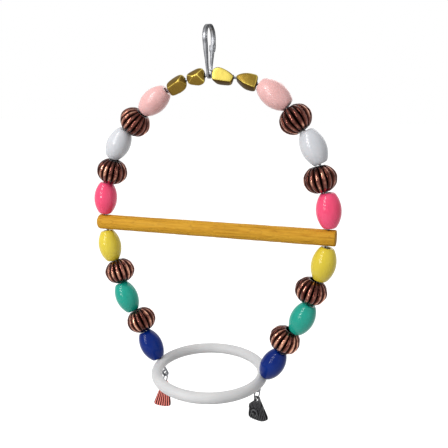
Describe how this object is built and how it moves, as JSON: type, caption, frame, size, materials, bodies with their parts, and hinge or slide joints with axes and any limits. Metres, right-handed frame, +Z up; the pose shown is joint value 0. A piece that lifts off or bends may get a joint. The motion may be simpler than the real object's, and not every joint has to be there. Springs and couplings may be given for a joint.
{
  "type": "bird swing",
  "caption": "Beaded wire hoop with a wooden perch, a level plastic ring and small shell charms, hung from a snap hook.",
  "frame": {"origin": "centre of the snap hook's top bend, where it hangs on a bar", "axes": "+X along the perch to the right, +Y to the rear, +Z up"},
  "size_m": [0.1964, 0.0936, 0.3047],
  "materials": {
    "bright_steel": "polished",
    "wire_steel": "drawn",
    "gold": "metallised gold",
    "pale_pink": "pearly",
    "antique_copper": "metallised antique copper",
    "white": "glossy",
    "hot_pink": "glossy",
    "wood": "stained, open grain",
    "yellow": "glossy",
    "teal": "glossy",
    "blue": "glossy",
    "white_plastic": "satin",
    "dark_steel": "oxidised",
    "copper_red": "metallised, coppery red",
    "gunmetal": "metallised, gunmetal"
  },
  "bodies": {
    "hook": {"snap_hook": "bright_steel"},
    "gate": {"hook_gate": "bright_steel"},
    "hoop": {"hoop_wire": "wire_steel", "perch": "wood"},
    "ring": {"ring": "white_plastic"},
    "left_inner_nugget": {"left_inner_nugget": "gold"},
    "right_inner_nugget": {"right_inner_nugget": "gold"},
    "left_outer_nugget": {"left_outer_nugget": "gold"},
    "right_outer_nugget": {"right_outer_nugget": "gold"},
    "left_pale_pink_bead": {"left_pale_pink_bead": "pale_pink"},
    "right_pale_pink_bead": {"right_pale_pink_bead": "pale_pink"},
    "left_top_melon": {"left_top_melon": "antique_copper"},
    "right_top_melon": {"right_top_melon": "antique_copper"},
    "left_white_bead": {"left_white_bead": "white"},
    "right_white_bead": {"right_white_bead": "white"},
    "left_upper_melon": {"left_upper_melon": "antique_copper"},
    "right_upper_melon": {"right_upper_melon": "antique_copper"},
    "left_hot_pink_bead": {"left_hot_pink_bead": "hot_pink"},
    "right_hot_pink_bead": {"right_hot_pink_bead": "hot_pink"},
    "left_yellow_bead": {"left_yellow_bead": "yellow"},
    "right_yellow_bead": {"right_yellow_bead": "yellow"},
    "left_lower_melon": {"left_lower_melon": "antique_copper"},
    "right_lower_melon": {"right_lower_melon": "antique_copper"},
    "left_teal_bead": {"left_teal_bead": "teal"},
    "right_teal_bead": {"right_teal_bead": "teal"},
    "left_bottom_melon": {"left_bottom_melon": "antique_copper"},
    "right_bottom_melon": {"right_bottom_melon": "antique_copper"},
    "left_blue_bead": {"left_blue_bead": "blue"},
    "right_blue_bead": {"right_blue_bead": "blue"},
    "left_jump_ring": {"left_jump_ring": "dark_steel"},
    "red_charm": {"red_charm": "copper_red"},
    "right_jump_ring": {"right_jump_ring": "dark_steel"},
    "black_charm": {"black_charm": "gunmetal"}
  },
  "joints": [
    {"name": "gate_spring", "type": "hinge", "parent": "hook", "child": "gate", "pos_m": [0, 0.00349, -0.02232], "axis": [1, 0, 0], "range_deg": [0, 20], "stiffness_Nm_per_rad": 0.05},
    {"name": "hoop_swing", "type": "hinge", "parent": "hook", "child": "hoop", "pos_m": [0, 0, -0.026], "axis": [1, 0, 0], "range_deg": [-60, 60]},
    {"name": "left_inner_nugget_spin", "type": "hinge", "parent": "hoop", "child": "left_inner_nugget", "pos_m": [-0.00974, 0, -0.02705], "axis": [0.9856, 0, 0.169], "continuous": true},
    {"name": "right_inner_nugget_spin", "type": "hinge", "parent": "hoop", "child": "right_inner_nugget", "pos_m": [0.01116, 0, -0.02679], "axis": [-0.9939, 0, 0.11], "continuous": true},
    {"name": "left_outer_nugget_spin", "type": "hinge", "parent": "hoop", "child": "left_outer_nugget", "pos_m": [-0.02529, 0, -0.03216], "axis": [0.8984, 0, 0.4391], "continuous": true},
    {"name": "right_outer_nugget_spin", "type": "hinge", "parent": "hoop", "child": "right_outer_nugget", "pos_m": [0.02851, 0, -0.03027], "axis": [-0.9585, 0, 0.2851], "continuous": true},
    {"name": "left_pale_pink_bead_spin", "type": "hinge", "parent": "hoop", "child": "left_pale_pink_bead", "pos_m": [-0.04398, 0, -0.04383], "axis": [0.7985, 0, 0.602], "continuous": true},
    {"name": "right_pale_pink_bead_spin", "type": "hinge", "parent": "hoop", "child": "right_pale_pink_bead", "pos_m": [0.04816, 0, -0.03963], "axis": [-0.8157, 0, 0.5785], "continuous": true},
    {"name": "left_top_melon_spin", "type": "hinge", "parent": "hoop", "child": "left_top_melon", "pos_m": [-0.06063, 0, -0.0594], "axis": [0.7135, 0, 0.7006], "continuous": true},
    {"name": "right_top_melon_spin", "type": "hinge", "parent": "hoop", "child": "right_top_melon", "pos_m": [0.06378, 0, -0.05638], "axis": [-0.6077, 0, 0.7942], "continuous": true},
    {"name": "left_white_bead_spin", "type": "hinge", "parent": "hoop", "child": "left_white_bead", "pos_m": [-0.07562, 0, -0.07646], "axis": [0.5146, 0, 0.8574], "continuous": true},
    {"name": "right_white_bead_spin", "type": "hinge", "parent": "hoop", "child": "right_white_bead", "pos_m": [0.07684, 0, -0.07504], "axis": [-0.4444, 0, 0.8958], "continuous": true},
    {"name": "left_upper_melon_spin", "type": "hinge", "parent": "hoop", "child": "left_upper_melon", "pos_m": [-0.08218, 0, -0.09814], "axis": [0.283, 0, 0.9591], "continuous": true},
    {"name": "right_upper_melon_spin", "type": "hinge", "parent": "hoop", "child": "right_upper_melon", "pos_m": [0.08236, 0, -0.09713], "axis": [-0.2673, 0, 0.9636], "continuous": true},
    {"name": "left_hot_pink_bead_spin", "type": "hinge", "parent": "hoop", "child": "left_hot_pink_bead", "pos_m": [-0.08912, 0, -0.11982], "axis": [0.097, 0, 0.9953], "continuous": true},
    {"name": "right_hot_pink_bead_spin", "type": "hinge", "parent": "hoop", "child": "right_hot_pink_bead", "pos_m": [0.08917, 0, -0.11889], "axis": [-0.0955, 0, 0.9954], "continuous": true},
    {"name": "left_yellow_bead_spin", "type": "hinge", "parent": "hoop", "child": "left_yellow_bead", "pos_m": [-0.08705, 0, -0.15911], "axis": [-0.1878, 0, 0.9822], "continuous": true},
    {"name": "right_yellow_bead_spin", "type": "hinge", "parent": "hoop", "child": "right_yellow_bead", "pos_m": [0.08722, 0, -0.1582], "axis": [0.1825, 0, 0.9832], "continuous": true},
    {"name": "left_lower_melon_spin", "type": "hinge", "parent": "hoop", "child": "left_lower_melon", "pos_m": [-0.07877, 0, -0.18001], "axis": [-0.3119, 0, 0.9501], "continuous": true},
    {"name": "right_lower_melon_spin", "type": "hinge", "parent": "hoop", "child": "right_lower_melon", "pos_m": [0.07898, 0, -0.17937], "axis": [0.3082, 0, 0.9513], "continuous": true},
    {"name": "left_teal_bead_spin", "type": "hinge", "parent": "hoop", "child": "left_teal_bead", "pos_m": [-0.07311, 0, -0.20177], "axis": [-0.4235, 0, 0.9059], "continuous": true},
    {"name": "right_teal_bead_spin", "type": "hinge", "parent": "hoop", "child": "right_teal_bead", "pos_m": [0.07329, 0, -0.20138], "axis": [0.4219, 0, 0.9067], "continuous": true},
    {"name": "left_bottom_melon_spin", "type": "hinge", "parent": "hoop", "child": "left_bottom_melon", "pos_m": [-0.06042, 0, -0.22046], "axis": [-0.4732, 0, 0.881], "continuous": true},
    {"name": "right_bottom_melon_spin", "type": "hinge", "parent": "hoop", "child": "right_bottom_melon", "pos_m": [0.06051, 0, -0.2203], "axis": [0.4729, 0, 0.8811], "continuous": true},
    {"name": "left_blue_bead_spin", "type": "hinge", "parent": "hoop", "child": "left_blue_bead", "pos_m": [-0.05178, 0, -0.24131], "axis": [-0.5054, 0, 0.8629], "continuous": true},
    {"name": "right_blue_bead_spin", "type": "hinge", "parent": "hoop", "child": "right_blue_bead", "pos_m": [0.05174, 0, -0.24137], "axis": [0.5055, 0, 0.8628], "continuous": true},
    {"name": "ring_rock", "type": "hinge", "parent": "hoop", "child": "ring", "pos_m": [0, 0, -0.256], "axis": [1, 0, 0], "range_deg": [-3, 3]},
    {"name": "left_jump_ring_swing", "type": "hinge", "parent": "hoop", "child": "left_jump_ring", "pos_m": [-0.03959, 0, -0.26672], "axis": [0.9976, 0.0698, 0], "range_deg": [-30, 30]},
    {"name": "red_charm_swing", "type": "hinge", "parent": "left_jump_ring", "child": "red_charm", "pos_m": [-0.03959, 0, -0.27342], "axis": [-0.0698, 0.9976, 0], "range_deg": [-25, 25]},
    {"name": "right_jump_ring_swing", "type": "hinge", "parent": "hoop", "child": "right_jump_ring", "pos_m": [0.03959, 0, -0.26672], "axis": [0.9703, -0.2419, 0], "range_deg": [-30, 30]},
    {"name": "black_charm_swing", "type": "hinge", "parent": "right_jump_ring", "child": "black_charm", "pos_m": [0.03959, 0, -0.27342], "axis": [0.2419, 0.9703, 0], "range_deg": [-25, 25]}
  ]
}
